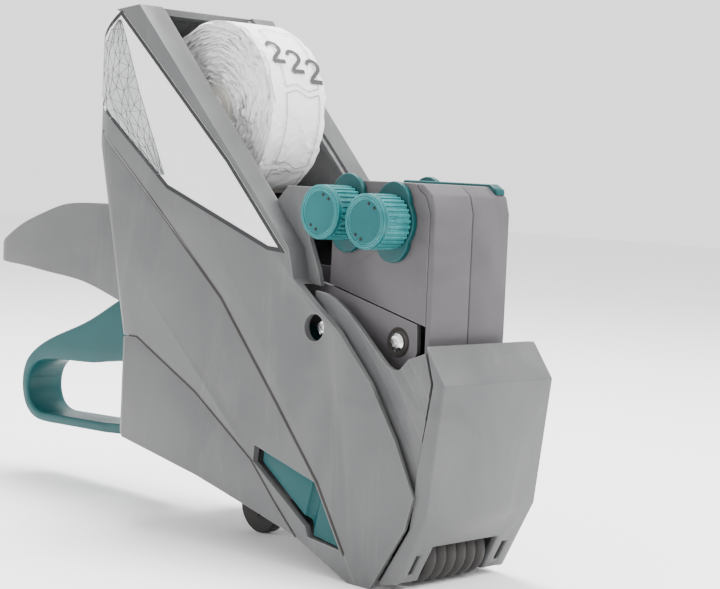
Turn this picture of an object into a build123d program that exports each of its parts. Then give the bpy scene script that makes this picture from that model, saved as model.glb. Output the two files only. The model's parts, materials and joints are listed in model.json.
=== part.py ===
"""Hand-held price labeler, modelled as separate pieces.

Millimetres. +X is forward, towards the nose that puts the label on the goods, +Y is to the tool's left
and +Z is up. The tool stands on its nose and its small rest wheel. Z = 0 is that surface, and the
origin lies under the middle of the whole tool. Side views are drawn as (x, z) outlines in Plane.XZ.
"""

import os
from math import cos, radians, sin

from build123d import *

os.makedirs("parts", exist_ok=True)

# ---------------------------------------------------------------- driving dimensions
WALL = 2.4                        # moulded wall of the casing
BACK_LOW, BACK_HIGH = -23.0, -45.0  # x of the back at the hinge and at the top seam
BACK_CORNER_R = 10.0
GAP = 0.35                        # gap between a moving cover and the casing
PANEL_RECESS = 26.95              # the side panels and hood sit inside this half width
REAR_HALF = 33.0                  # half width of the casing round the label roll
NOSE_HALF = 28.0                  # half width of the casing at the nose
BAY_HALF = 22.4                   # outer face of the roll bay's inner walls
BAY_WALL = 2.0

LABEL_WIDTH = 26.0
ROLL_WIDTH = 27.0                 # backing paper of a 26 mm label
ROLL_R = 34.0
ROLL_X, ROLL_Z = 6.0, 156.0
CORE_R = 9.0
SPINDLE_R = 6.0

TRIGGER_X, TRIGGER_Z = 20.0, 70.0  # trigger pivot
TRIGGER_SHAFT_R = 3.0
TRIGGER_HALF = 9.0                # half width of the finger loop
ARM_IN, ARM_OUT = 19.5, 22.0      # trigger arms, beside the head arms
HEAD_PIVOT_X, HEAD_PIVOT_Z = -5.0, 95.0
HEAD_SHAFT_R = 3.0
PLATE_IN, PLATE_OUT = 16.2, 18.0  # print head side plates
DRIVE_X, DRIVE_Z, DRIVE_R = 50.0, 88.0, 2.0

HEAD_HALF = 18.3                  # half width of the print head
HEAD_REAR, HEAD_SPLIT, HEAD_FRONT = 79.0, 117.0, 126.8
HEAD_TOP = 133.0
KNOB_R, KNOB_OUT, KNOB_IN = 9.1, 33.5, 20.9
FRONT_KNOB = (109.0, 120.0)
REAR_KNOB = (87.5, 122.0)
SELECTOR_R = 2.5

INK_PIVOT = (100.0, 75.0)
INK_ARM, INK_R = 34.9, 4.5
PRINT_FACE_Z = 46.0
PLATEN_Z, PLATEN_X, PLATEN_SLOPE = 33.7, 94.0, -0.115

ROLLER_X, ROLLER_Z, ROLLER_R = 118.4, 10.6, 9.6
WHEEL_X, WHEEL_R = 30.0, 10.6
HINGE_X, HINGE_Z = -16.0, 66.0
FEED_X, FEED_Z, FEED_R = 74.0, 25.0, 8.0
RUN = 0.05                        # radial clearance of a running fit

# ---------------------------------------------------------------- side outlines, (x, z)
RIM = [(-15.0, 194.0), (70.0, 109.0)]
FRONT_EDGE = [(73.0, 98.5), (83.0, 91.0), (95.0, 83.0), (111.0, 67.0), (123.0, 50.0), (132.0, 33.0)]
LOW_FRONT = [(129.0, 22.0), (115.0, 0.0)]
FOOT = [(105.0, 0.0)]
SEAM_UPPER = [(103.0, 9.0), (89.0, 31.0), (67.0, 56.0), (37.0, 89.0), (-1.0, 120.0), (-45.0, 154.0)]
SEAM_LOWER = [(-23.5, 70.5), (-9.0, 70.5), (25.0, 54.0), (56.0, 34.0), (69.0, 21.0), (80.0, 10.9)]
REAR_TOP = [(-47.0, 160.0), (-44.5, 173.5), (-38.0, 184.5), (-28.0, 192.5)]
REAR_EDGE = [(-39.0, 128.0), (-34.0, 115.0), (-28.0, 84.0), (-23.5, 70.5)]
BOTTOM_REAR = [(-21.0, 39.0), (-19.5, 34.5), (-15.5, 31.8), (28.0, 23.8), (61.0, 15.8), (80.0, 10.9)]
CASING = [*RIM, *FRONT_EDGE, *LOW_FRONT, *FOOT, *reversed(BOTTOM_REAR), *reversed(REAR_EDGE),
          (-45.0, 154.0), *REAR_TOP]


def xz(y):
    """The XZ plane at this y. Its normal points to -Y."""
    return Plane.XZ.offset(-y)


def plate(points, y_low, y_high, mode=Mode.ADD):
    """A flat piece with this (x, z) outline, between two y values."""
    with BuildSketch(xz(y_high)) as outline:
        with BuildLine():
            Polyline(*points, close=True)
        make_face()
    extrude(outline.sketch, amount=y_high - y_low, mode=mode)


def rod(x, z, r, y_low, y_high, mode=Mode.ADD):
    """A round bar along Y."""
    with BuildSketch(xz(y_high)) as outline:
        with Locations((x, z)):
            Circle(r)
    extrude(outline.sketch, amount=y_high - y_low, mode=mode)


def block(x_low, x_high, y_low, y_high, z_low, z_high, mode=Mode.ADD):
    """A rectangular block between its limits."""
    centre = ((x_low + x_high) / 2, (y_low + y_high) / 2, (z_low + z_high) / 2)
    with Locations(centre):
        Box(x_high - x_low, y_high - y_low, z_high - z_low, mode=mode)


def platen_z(x):
    """Height of the platen's top face at x."""
    return PLATEN_Z + PLATEN_SLOPE * (x - PLATEN_X)


def save(piece, name):
    """Labels a finished piece and writes its STEP file."""
    piece.part.label = name
    export_step(piece.part, f"parts/{name}.step")


def save_pair(right, name):
    """Writes a right-hand piece and its mirror image on the left."""
    save(right, f"{name}_right")
    with BuildPart() as left:
        mirror(right.part, about=Plane.XZ)
    save(left, f"{name}_left")


def corner_waste(z, back_x, side_y, r):
    """What lies outside the rounded back corner of the plan at this height."""
    with BuildSketch(Plane.XY.offset(z)) as waste:
        with BuildLine():
            arc = ThreePointArc((back_x, side_y + r), (back_x + 0.293 * r, side_y + 0.293 * r), (back_x + r, side_y))
            Polyline(arc @ 1, (back_x + r, side_y - 5), (back_x - 8, side_y - 5), (back_x - 8, side_y + r), arc @ 0)
        make_face()
    return waste.sketch


def casing_half(inset):
    """Right half of the casing's outside, or of its hollow when inset is the wall thickness.

    The side outline is cut by a plan outline that tapers to the nose and rounds the back corners.
    """
    with BuildPart() as half:
        with BuildSketch(Plane.XZ) as side:
            with BuildLine():
                Polyline(*CASING, close=True)
            make_face()
            if inset:
                offset(amount=-inset, kind=Kind.INTERSECTION)
        extrude(side.sketch, amount=REAR_HALF + 5)
        rear, nose = REAR_HALF - inset, NOSE_HALF - inset
        with BuildSketch(Plane.XY) as plan:
            with BuildLine():
                start = Line((135, 0), (135, -nose))
                taper = Line(start @ 1, (-28, -rear - 0.5))
                corner = ThreePointArc(taper @ 1, (-41.6 + 0.7 * inset, -28.5 + 0.7 * inset), (-47 + inset, -16))
                back = Line(corner @ 1, (-50 + inset, 0))
                Line(back @ 1, start @ 0)
            make_face()
        extrude(plan.sketch, amount=210, mode=Mode.INTERSECT)
        # the back corner keeps its radius down the sloping back edge
        for low, high in ((30.0, 70.5), (70.5, 154.0)):
            levels = []
            for z in (low, high):
                back_x = BACK_LOW if z < 71 else BACK_HIGH
                levels.append(corner_waste(z, back_x + inset, -rear - 0.5, BACK_CORNER_R - inset))
            loft(levels, ruled=True, mode=Mode.SUBTRACT)
    return half.part


OUTSIDE = casing_half(0)
HOLLOW = casing_half(WALL)

# ---------------------------------------------------------------- casing shells
TRIGGER_SLOT = 12.0               # half width of the slot in the back of the casing
MIDDLE_REGION = [*SEAM_UPPER, (-60.0, 154.0), (-60.0, 70.5), *SEAM_LOWER, (100.0, -5.0), (112.0, -5.0)]
FLAP_REGION = [*SEAM_LOWER, (80.0, -5.0), (-60.0, -5.0), (-60.0, 70.5)]
POCKET = [(57.5, 39.4), (57.0, 33.6), (84.0, 15.4), (85.6, 12.0), (100.8, 10.2), (87.8, 31.0)]
LATCH = [(60.2, 37.6), (60.2, 34.0), (61.4, 32.9), (84.8, 17.4), (86.4, 13.0), (100.0, 11.0), (87.4, 30.4)]
BAY_MOUTH = [(-17, 205), (-17, 185), (50, 118), (72, 90), (140, 40), (140, 205)]
HEAD_MOUTH = [(72, 97), (60, 90), (100, 55), (118, 20), (107.5, 14), (107.5, -2), (140, -2), (140, 97)]

with BuildPart() as upper_shell_right:
    add(OUTSIDE)
    add(HOLLOW, mode=Mode.SUBTRACT)
    plate(MIDDLE_REGION, -40, 5, mode=Mode.SUBTRACT)
    plate(FLAP_REGION, -40, 5, mode=Mode.SUBTRACT)
    # the mouth of the roll bay, and the open front that the print head works in
    plate(BAY_MOUTH, -BAY_HALF, 5, mode=Mode.SUBTRACT)
    plate(HEAD_MOUTH, -PANEL_RECESS, 5, mode=Mode.SUBTRACT)
    rod(84, 83, 4.7, -40, -20, mode=Mode.SUBTRACT)
    rod(ROLL_X, ROLL_Z, SPINDLE_R + 2.5, -31.2, -BAY_HALF - 0.1)
    rod(ROLL_X, ROLL_Z, SPINDLE_R - 1.5, -29.5, -20, mode=Mode.SUBTRACT)
save_pair(upper_shell_right, "upper_shell")

with BuildPart() as middle_shell_right:
    add(OUTSIDE)
    add(HOLLOW, mode=Mode.SUBTRACT)
    plate(MIDDLE_REGION, -40, 5, mode=Mode.INTERSECT)
    for x, z, r in ((TRIGGER_X, TRIGGER_Z, TRIGGER_SHAFT_R), (HEAD_PIVOT_X, HEAD_PIVOT_Z, HEAD_SHAFT_R)):
        rod(x, z, r + 2.5, -31.0, -22.8)
        rod(x, z, r, -27.5, -20, mode=Mode.SUBTRACT)
    # slot for the trigger, and lugs for the flap's hinge pins
    block(-50, -15, -TRIGGER_SLOT, 5, 60, 102, mode=Mode.SUBTRACT)
    plate([(-18.4, 80), (-18.4, 64), (-17.6, 62), (-12, 64), (-10, 80)], -27.3, -25.2)
    block(-19.4, -10.4, -30.8, -27, 73, 80)
    block(36, 44, -30, -19.6, 56, 58)
    rod(HINGE_X, HINGE_Z, 1.5, -27.4, -20, mode=Mode.SUBTRACT)
    plate(POCKET, -40, -20, mode=Mode.SUBTRACT)
save_pair(middle_shell_right, "middle_shell")

# ---------------------------------------------------------------- base flap: one moulding, both sides
with BuildPart() as base_flap:
    add(OUTSIDE)
    add(HOLLOW, mode=Mode.SUBTRACT)
    with BuildSketch(Plane.XZ) as flap_side:
        with BuildLine():
            Polyline(*FLAP_REGION, close=True)
        make_face()
        offset(amount=-GAP, kind=Kind.INTERSECTION)
    extrude(flap_side.sketch, amount=40, mode=Mode.INTERSECT)
    mirror(about=Plane.XZ)
    block(-40, -10, -TRIGGER_SLOT, TRIGGER_SLOT, 20, 80, mode=Mode.SUBTRACT)
    for side in (-1, 1):
        # hinge ears and ears of the pressure roller
        y_low, y_high = sorted((side * 22.4, side * 24.8))
        plate([(-23.5, 40), (-20, 62), (-19, 68.5), (-14, 69), (-11.5, 64), (-14, 36)], y_low, y_high)
        y_low, y_high = sorted((side * 11.0, side * 12.6))
        plate([(57.5, 17.2), (60.5, 25), (66, 25), (69.5, 14.6)], y_low, y_high)
    # the corner behind the hinge rises as the flap opens
    plate([(-26, 67.4), (-12, 71), (-26, 71)], -40, 40, mode=Mode.SUBTRACT)
    rod(HINGE_X, HINGE_Z, 1.5 + RUN, -26, 26, mode=Mode.SUBTRACT)
    rod(63.2, 21.8, 1.2, -13, 13, mode=Mode.SUBTRACT)
save(base_flap, "base_flap")

with BuildPart() as wheel_fork:
    for side in (-1, 1):
        y_low, y_high = sorted((side * 3.4, side * 5.4))
        plate([(22, 24.9), (28, 23.8), (38, 21.37), (34.5, 9), (32, 7), (28, 7), (25.5, 9)], y_low, y_high)
    rod(WHEEL_X, WHEEL_R, 1.5, -6, 6, mode=Mode.SUBTRACT)
save(wheel_fork, "wheel_fork")

# ---------------------------------------------------------------- nose: ribbed side panels and hood
SCOOP = [(79.0, 95.0), (84.5, 94.4), (89.0, 93.0), (95.0, 89.4), (101.0, 85.0), (107.0, 79.9), (112.5, 75.2),
         (114.6, 73.6), (116.6, 72.7), (118.6, 72.3), (120.4, 72.6), (122.0, 73.4), (123.4, 74.8), (125.0, 76.5)]
GROOVE = [(133.8, 79.4), (136.8, 70.0), (135.0, 59.0), (133.2, 50.0), (131.6, 41.0), (131.0, 31.0)]
PANEL = [*SCOOP, *[(x - 1.0, z) for x, z in GROOVE], (129.6, 29.5), (120.5, 48.6), (109.0, 65.0), (93.5, 81.0),
         (79.0, 92.0)]

with BuildPart() as side_panel_right:
    plate(PANEL, -25.0, -23.6)
    for i in range(1, 5):
        # each rib stands a little further out than the one behind it
        shift = 6.2 * i
        strip = [(79 + shift, 101), (93.5 + shift, 85), (109 + shift, 67),
                 (120.5 + shift, 50), (132 + shift, 28)]
        ahead = [(x + 30, z) for x, z in reversed(strip)]
        with BuildSketch(xz(-24.8)) as rib:
            with BuildLine():
                Polyline(*PANEL, close=True)
            make_face()
            with BuildLine():
                Polyline(*strip, *ahead, close=True)
            make_face(mode=Mode.INTERSECT)
        extrude(rib.sketch, amount=0.25 + 0.4 * i)
save_pair(side_panel_right, "side_panel")

HOOD_FRONT = [(133.0, 82.0), (142.0, 70.0), (137.0, 27.0), (124.6, 3.0)]
HOOD_INNER = [(131.1, 80.5), (139.5, 69.3), (134.7, 27.9), (122.6, 4.4)]
HOOD_SIDE = [*GROOVE, (129.6, 22.0), (116.6, 1.5), (124.6, 3.0), (137.0, 27.0), (142.0, 70.0), (133.0, 82.0)]
HOOD_HALF = 26.9
WINDOW_HALF = 16.0

with BuildPart() as nose_hood:
    plate([*HOOD_FRONT, *reversed(HOOD_INNER)], -HOOD_HALF + WALL, HOOD_HALF - WALL)
    for side in (-1, 1):
        y_low, y_high = sorted((side * HOOD_HALF, side * (HOOD_HALF - WALL)))
        plate(HOOD_SIDE, y_low, y_high)
    # window for the applicator roller, and the two small slots beside it
    block(110, 140, -WINDOW_HALF, WINDOW_HALF, -2, 15.5, mode=Mode.SUBTRACT)
    for side in (-1, 1):
        y_low, y_high = sorted((side * 20.0, side * 22.4))
        block(110, 140, y_low, y_high, 6, 13, mode=Mode.SUBTRACT)
    fillet(nose_hood.edges().filter_by(Axis.Y).group_by(Axis.X)[-1], 1.2)
save(nose_hood, "nose_hood")

# ---------------------------------------------------------------- handle: two halves of a hollow grip
HANDLE_TOP = [(-30.0, 119.0), (-57.0, 118.2), (-74.0, 118.0), (-88.0, 116.5), (-100.0, 113.0), (-115.0, 108.0),
              (-129.0, 101.8), (-138.0, 97.0)]
HANDLE_UNDER = [(-142.0, 93.6), (-139.5, 91.0), (-131.0, 90.0), (-117.0, 89.6), (-95.0, 88.0), (-73.0, 86.0),
                (-52.0, 81.0), (-27.6, 76.0)]
HANDLE_HALF = 14.0
CHANNEL_HALF = 10.6

with BuildPart() as handle_right:
    with BuildSketch(Plane.XZ) as grip_side:
        with BuildLine():
            top = Spline(*HANDLE_TOP)
            tip = Spline(top @ 1, *HANDLE_UNDER[:2])
            under = Spline(*HANDLE_UNDER[1:])
            Line(under @ 1, top @ 0)
        make_face()
    extrude(grip_side.sketch, amount=HANDLE_HALF)
    with BuildSketch(Plane.XY) as grip_plan:
        with BuildLine():
            rear = Line((-28, 0), (-142.5, 0))
            tip_arc = ThreePointArc(rear @ 1, (-139, -8), (-130, -12))
            side_line = Spline(tip_arc @ 1, (-100, -13.8), (-60, -12.4), (-28, -13.2))
            Line(side_line @ 1, rear @ 0)
        make_face()
    extrude(grip_plan.sketch, amount=150, mode=Mode.INTERSECT)
    # the rear end sits on the casing; the channel underneath takes the trigger
    casing_side = [(-20, 130), (-39.8, 130), (-34.05, 115), (-28.05, 84), (-23.4, 70), (-20, 70)]
    plate(casing_side, -20, 5, mode=Mode.SUBTRACT)
    channel = [(-20, 114.5), (-74, 115), (-100, 110), (-124, 101.5), (-126, 92.4), (-100, 91), (-98, 80),
               (-20, 60)]
    plate(channel, -CHANNEL_HALF, 5, mode=Mode.SUBTRACT)
save_pair(handle_right, "handle")

# ---------------------------------------------------------------- roll bay
with BuildPart() as bay_wall_right:
    plate([(-17.5, 188), (-16.4, 192.6), (-15.6, 193.0), (53.6, 123.8), (60, 130), (72, 130), (72, 112),
           (77, 102), (78.6, 96.5), (66, 98), (60, 104), (30, 112), (-30, 118), (-30, 150)],
          -BAY_HALF, -BAY_HALF + BAY_WALL)
    rod(ROLL_X, ROLL_Z, SPINDLE_R + 0.02, -30, -20, mode=Mode.SUBTRACT)
save_pair(bay_wall_right, "bay_wall")

TRAY_R = ROLL_R + 2.5
with BuildPart() as bay_floor:
    with BuildSketch(xz(20.3)) as tray:
        with BuildLine():
            ends = []
            for r in (TRAY_R, TRAY_R + 1.6):
                rear, middle, front = [(ROLL_X - r * cos(radians(a)), ROLL_Z - r * sin(radians(a)))
                                       for a in (-25, 60, 130)]
                ends.append(ThreePointArc(rear, middle, front))
            Line(ends[0] @ 0, ends[1] @ 0)
            Line(ends[0] @ 1, ends[1] @ 1)
        make_face()
    extrude(tray.sketch, amount=40.6)
save(bay_floor, "bay_floor")

with BuildPart() as roll_spindle:
    rod(ROLL_X, ROLL_Z, SPINDLE_R, -22.4, 22.4)
    for side in (-1, 1):
        y_low, y_high = sorted((side * 22.4, side * 29.4))
        rod(ROLL_X, ROLL_Z, SPINDLE_R - 1.5, y_low, y_high)
save(roll_spindle, "roll_spindle")

with BuildPart() as roll_core:
    rod(ROLL_X, ROLL_Z, CORE_R, -ROLL_WIDTH / 2, ROLL_WIDTH / 2)
    rod(ROLL_X, ROLL_Z, SPINDLE_R + RUN, -20, 20, mode=Mode.SUBTRACT)
save(roll_core, "roll_core")

with BuildPart() as label_roll:
    rod(ROLL_X, ROLL_Z, ROLL_R, -ROLL_WIDTH / 2, ROLL_WIDTH / 2)
    rod(ROLL_X, ROLL_Z, CORE_R, -20, 20, mode=Mode.SUBTRACT)
save(label_roll, "label_roll")

# ---------------------------------------------------------------- trigger and its shafts
LOOP_OUTER = [(-44.0, 84.0), (-53.0, 80.2), (-65.0, 74.0), (-78.0, 68.0), (-93.0, 62.6), (-106.0, 57.2),
              (-113.0, 53.0), (-118.0, 48.0), (-120.2, 42.0), (-120.0, 35.4), (-117.4, 29.4), (-112.0, 25.2),
              (-104.0, 23.8), (-95.0, 24.0), (-83.0, 24.4), (-71.0, 24.8), (-60.0, 25.2)]
LOOP_INNER = [(-61.0, 54.2), (-85.0, 51.8), (-102.0, 50.4), (-108.6, 48.8), (-113.2, 45.4), (-115.4, 40.6),
              (-115.2, 35.2), (-112.6, 30.6), (-107.6, 28.0), (-100.0, 27.6), (-90.0, 28.0), (-80.0, 28.4),
              (-70.0, 28.8), (-60.0, 29.2)]
with BuildPart() as trigger:
    with BuildSketch(xz(TRIGGER_HALF)) as trigger_side:
        with BuildLine():
            outer = Spline(*LOOP_OUTER)
            Polyline(outer @ 1, (-36, 27), (-29.5, 30), (-28, 36), (-27, 61), (-10, 62), (-10, 79.5), (-30, 83),
                     outer @ 0)
        make_face()
        with BuildLine():
            inner = Spline(*LOOP_INNER)
            Polyline(inner @ 1, (-37, 31.4), (-34.5, 34), (-35, 57.4), inner @ 0)
        make_face(mode=Mode.SUBTRACT)
    extrude(trigger_side.sketch, amount=2 * TRIGGER_HALF)
    block(-14, -8, -ARM_OUT, ARM_OUT, 62, 79.6)
    for side in (-1, 1):
        y_low, y_high = sorted((side * ARM_IN, side * ARM_OUT))
        plate([(-14, 62), (-14, 79.6), (20, 80), (43, 95), (57, 95), (58, 81), (46, 81), (24, 61.5)], y_low, y_high)
        rod(TRIGGER_X, TRIGGER_Z, 8.5, y_low, y_high)
        rod(TRIGGER_X, TRIGGER_Z, TRIGGER_SHAFT_R + RUN, y_low, y_high, mode=Mode.SUBTRACT)
        with BuildSketch(xz(y_high)) as slot:
            with Locations((DRIVE_X - 1.6, DRIVE_Z)):
                SlotOverall(11.0, 5.4)
        extrude(slot.sketch, amount=y_high - y_low, mode=Mode.SUBTRACT)
save(trigger, "trigger")

for name, x, z, r in (("trigger_shaft", TRIGGER_X, TRIGGER_Z, TRIGGER_SHAFT_R),
                      ("head_pivot_shaft", HEAD_PIVOT_X, HEAD_PIVOT_Z, HEAD_SHAFT_R)):
    with BuildPart() as shaft:
        rod(x, z, r, -27.4, 27.4)
        chamfer(shaft.edges().filter_by(GeomType.CIRCLE), 0.4)
    save(shaft, name)

SPRING_R, SPRING_WIRE, SPRING_X, SPRING_FOOT, SPRING_TOP = 2.8, 0.45, 40.0, 58.0, 73.6
with BuildPart() as return_spring:
    for side in (-1, 1):
        with BuildLine() as coil:
            Helix(pitch=3.4, height=SPRING_TOP - SPRING_FOOT - 1.0, radius=SPRING_R,
                  center=(SPRING_X, side * 23.0, SPRING_FOOT + 0.5))
        with BuildSketch(Plane(origin=coil.line @ 0, z_dir=coil.line % 0)) as wire:
            Circle(SPRING_WIRE)
        sweep(wire.sketch, path=coil.line)
save(return_spring, "return_spring")

with BuildPart() as flap_hinge_pins:
    for side in (-1, 1):
        y_low, y_high = sorted((side * 22.2, side * 27.4))
        rod(HINGE_X, HINGE_Z, 1.5, y_low, y_high)
save(flap_hinge_pins, "flap_hinge_pins")

# ---------------------------------------------------------------- print table and label feed
with BuildPart() as print_table:
    top = [(58, platen_z(58)), (124.6, platen_z(124.6)), (124.2, platen_z(124.6) - 0.8), (58, platen_z(58) - 1.6)]
    plate(top, -15.0, 15.0)
    wings = [(62, platen_z(62)), (108, platen_z(108)), (108, platen_z(108) - 1.6), (62, platen_z(62) - 1.6)]
    plate(wings, -21.0, 21.0)
    tabs = [(98, platen_z(98)), (108, platen_z(108)), (108, platen_z(108) - 1.6), (98, platen_z(98) - 1.6)]
    plate(tabs, -25.6, 25.6)
    for side in (-1, 1):
        y_low, y_high = sorted((side * 15.0, side * 16.6))
        plate([(64, platen_z(64) - 0.4), (86, platen_z(86) - 0.4), (80, 20), (68, 20)], y_low, y_high)
        plate([(104, platen_z(104) - 0.4), (124, platen_z(124) - 0.4), (123.4, 8), (113, 8)], y_low, y_high)
    rod(FEED_X, FEED_Z, 2.0, -20, 20, mode=Mode.SUBTRACT)
    rod(ROLLER_X, ROLLER_Z, 1.6, -20, 20, mode=Mode.SUBTRACT)
save(print_table, "print_table")

for name, x, z, r, y in (("feed_axle", FEED_X, FEED_Z, 2.0, 16.9),
                         ("applicator_axle", ROLLER_X, ROLLER_Z, 1.6, 16.9)):
    with BuildPart() as axle:
        rod(x, z, r, -y, y)
    save(axle, name)

with BuildPart() as feed_wheel:
    rod(FEED_X, FEED_Z, FEED_R - 0.9, -10, 10)
    for side in (-5.6, 5.6):
        rod(FEED_X, FEED_Z, FEED_R, side - 1.6, side + 1.6)
    with BuildSketch(xz(13.0)) as ratchet:
        with PolarLocations(0, 12):
            with BuildLine():
                Polyline((3, 0), (6.9, 0), (5.6 * cos(radians(30)), 5.6 * sin(radians(30))), (2.6, 1.5), close=True)
            make_face()
        Circle(5.4)
    extrude(ratchet.sketch.moved(Location((FEED_X, 0, FEED_Z))), amount=3.0)
    rod(FEED_X, FEED_Z, 2.0 + RUN, -20, 20, mode=Mode.SUBTRACT)
save(feed_wheel, "feed_wheel")

with BuildPart() as feed_pawl:
    rod(FEED_X, FEED_Z, 3.8, 13.3, 14.7)
    plate([(FEED_X, FEED_Z + 3.6), (62.5, 27.2), (61, 24.6), (FEED_X, FEED_Z - 3.6)], 13.3, 14.7)
    rod(FEED_X, FEED_Z, 2.0 + RUN, 10, 16, mode=Mode.SUBTRACT)
save(feed_pawl, "feed_pawl")

PRESS_X, PRESS_Z, PRESS_R = 63.2, 21.8, 3.0
with BuildPart() as pressure_roller:
    rod(PRESS_X, PRESS_Z, PRESS_R, -10, 10)
    rod(PRESS_X, PRESS_Z, 1.2 + RUN, -10, 10, mode=Mode.SUBTRACT)
save(pressure_roller, "pressure_roller")

with BuildPart() as flap_axles:
    rod(PRESS_X, PRESS_Z, 1.2, -12.8, 12.8)
    rod(WHEEL_X, WHEEL_R, 1.5, -5.6, 5.6)
save(flap_axles, "flap_axles")

with BuildPart() as rest_wheel:
    rod(WHEEL_X, WHEEL_R, WHEEL_R, -2.6, 2.6)
    chamfer(rest_wheel.edges().filter_by(GeomType.CIRCLE), 0.6)
    rod(WHEEL_X, WHEEL_R, 1.5 + RUN, -4, 4, mode=Mode.SUBTRACT)
save(rest_wheel, "rest_wheel")

RIBS = 6
RIB_PITCH = 29.0 / RIBS
with BuildPart() as wavy_roller:
    with BuildSketch(Plane.XY) as profile:
        with BuildLine():
            low = Line((0, -14.5), (ROLLER_R - 1.4, -14.5))
            crest = low
            for i in range(RIBS):
                y = -14.5 + RIB_PITCH * i
                crest = ThreePointArc(crest @ 1, (ROLLER_R, y + RIB_PITCH / 2), (ROLLER_R - 1.4, y + RIB_PITCH))
            top = Line(crest @ 1, (0, 14.5))
            Line(top @ 1, low @ 0)
        make_face()
    revolve(profile.sketch, axis=Axis.Y)

with BuildPart() as applicator_roller:
    add(wavy_roller.part.moved(Location((ROLLER_X, 0, ROLLER_Z))))
    rod(ROLLER_X, ROLLER_Z, 1.6 + RUN, -20, 20, mode=Mode.SUBTRACT)
save(applicator_roller, "applicator_roller")

# ---------------------------------------------------------------- latches that free the flap
with BuildPart() as latch_right:
    plate(LATCH, -28.4, -25.0)
    # finger groove
    with Locations(Location((86.4, -29.8, 22), (0, 14, 0))):
        Cylinder(3.2, 40, mode=Mode.SUBTRACT)
    rod(80, 27, 1.6, -26, -23.4)
save_pair(latch_right, "latch")

# ---------------------------------------------------------------- print head
with BuildPart() as head_plate_right:
    plate([(HEAD_PIVOT_X, HEAD_PIVOT_Z + 7), (60, 100), (79.8, 96.6), (120.4, 87.2), (121, 78), (118, 72), (104, 68),
           (96, 68), (86, 80), (60, 84), (HEAD_PIVOT_X, HEAD_PIVOT_Z - 7)], -PLATE_OUT, -PLATE_IN)
    rod(HEAD_PIVOT_X, HEAD_PIVOT_Z, 7, -PLATE_OUT, -PLATE_IN)
    rod(HEAD_PIVOT_X, HEAD_PIVOT_Z, HEAD_SHAFT_R + RUN, -20, -10, mode=Mode.SUBTRACT)
    rod(*INK_PIVOT, 2.0 + RUN, -20, -10, mode=Mode.SUBTRACT)
    rod(DRIVE_X, DRIVE_Z, DRIVE_R, -ARM_OUT - 0.3, -PLATE_OUT + 0.1)
save_pair(head_plate_right, "head_plate")

HEAD_SEAM = [(HEAD_SPLIT, HEAD_TOP), (118.6, 130.9), (121.8, 128.7), (123.9, 123.4), (124.3, 86.9)]
with BuildPart() as head_box:
    plate([(HEAD_REAR, 97.4), (HEAD_REAR, 131), (HEAD_REAR + 2, HEAD_TOP), *HEAD_SEAM], -HEAD_HALF, HEAD_HALF)
    plate([(HEAD_REAR + 1.9, 90), (HEAD_REAR + 1.9, 131), (126, 131), (126, 80)],
          -HEAD_HALF + 1.9, HEAD_HALF - 1.9, mode=Mode.SUBTRACT)
    for x, z in (FRONT_KNOB, REAR_KNOB):
        rod(x, z, 4.0, -20, 20, mode=Mode.SUBTRACT)
    block(91, 101, -14, 14, 130, 134, mode=Mode.SUBTRACT)
save(head_box, "head_box")

with BuildPart() as head_window:
    block(91.2, 100.8, -13.8, 13.8, 131.2, 132.8)
save(head_window, "head_window")

with BuildPart() as head_cover_right:
    plate([*HEAD_SEAM, (124.4, 70), (126.6, 70), (HEAD_FRONT, 84), (HEAD_FRONT - 0.4, 124), (124.8, 129.6),
           (120.4, HEAD_TOP)], -HEAD_HALF, -0.1)
save_pair(head_cover_right, "head_cover")

with BuildPart() as type_block:
    block(92, 108, -12.4, 12.4, PRINT_FACE_Z, 84)
    block(90, 110, -PLATE_IN, PLATE_IN, 84, 88)
    for x in (96, 104):
        block(x - 3, x + 3, -12.4, 12.4, PRINT_FACE_Z - 1, PRINT_FACE_Z, mode=Mode.SUBTRACT)
save(type_block, "type_block")

BANDS = 7
for name, (x, z), low in (("front_type_bands", FRONT_KNOB, 88.2), ("rear_type_bands", REAR_KNOB, 96.0)):
    with BuildPart() as bands:
        for i in range(BANDS):
            y = -12.0 + 3.2 * i
            plate([(x - 5, z), (x - 3, z + 5), (x + 3, z + 5), (x + 5, z), (x + 5, low + 6), (x + 2, low),
                   (x - 2, low), (x - 5, low + 6)], y - 1.4, y + 1.4)
        rod(x, z, SELECTOR_R + 0.3, -20, 20, mode=Mode.SUBTRACT)
    save(bands, name)

for name, (x, z) in (("front", FRONT_KNOB), ("rear", REAR_KNOB)):
    for side, word in ((-1, "right"), (1, "left")):
        with BuildPart() as flange:
            y_low, y_high = sorted((side * HEAD_HALF, side * (HEAD_HALF + 2.2)))
            rod(x, z, 9.6, y_low, y_high)
            for dz in (-6, 6):
                rod(x, z + dz, 7.4, y_low, y_high)
            y_low, y_high = sorted((side * (HEAD_HALF - 1.9), side * HEAD_HALF))
            rod(x, z, 4.0, y_low, y_high)
            rod(x, z, SELECTOR_R + RUN, -25, 25, mode=Mode.SUBTRACT)
        save(flange, f"{name}_flange_{word}")

FLUTES = 30
for name, (x, z) in (("front", FRONT_KNOB), ("rear", REAR_KNOB)):
    with BuildPart() as knob:
        rod(x, z, KNOB_R - 0.35, -KNOB_OUT + 2.2, -KNOB_IN)
        rod(x, z, KNOB_R, -KNOB_OUT, -KNOB_OUT + 2.2)
        with BuildSketch(xz(-KNOB_IN)) as ribs:
            with Locations((x, z)):
                with PolarLocations(KNOB_R - 0.35, FLUTES):
                    Circle(0.45)
        extrude(ribs.sketch, amount=KNOB_OUT - 2.2 - KNOB_IN)
        fillet(knob.faces().sort_by(Axis.Y)[0].edges(), 0.8)
        # the spindle turns and slides with the knob
        rod(x, z, SELECTOR_R, -KNOB_IN, 22.5)
    save(knob, f"{name}_knob")

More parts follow.
